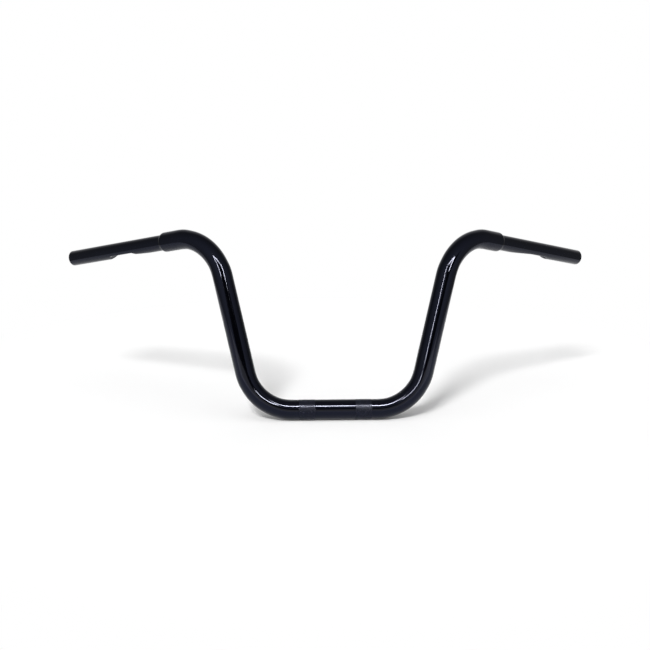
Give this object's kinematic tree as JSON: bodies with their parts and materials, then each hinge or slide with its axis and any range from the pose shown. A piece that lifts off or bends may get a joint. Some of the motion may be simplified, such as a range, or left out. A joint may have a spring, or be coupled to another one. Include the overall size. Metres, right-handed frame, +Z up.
{
  "type": "motorcycle handlebar",
  "caption": "Tall, pulled-back motorcycle handlebar bent from one thick gloss-black tube, stepped down to slimmer grip ends, with knurled clamp bands on its straight base.",
  "frame": {"origin": "on the tube's axis, at the middle of the straight clamp stretch, midway between the knurled bands", "axes": "+X along the clamp stretch to the clutch side (the rider's left), +Y to the rider, +Z up; the uprights lean back 10 degrees, as on a bike"},
  "size_m": [0.886, 0.2386, 0.291],
  "materials": {
    "black_coat": "deep gloss black coat over steel, with a faint blue tint in its reflections"
  },
  "bodies": {
    "root": {"handlebar": "black_coat"}
  },
  "joints": []
}
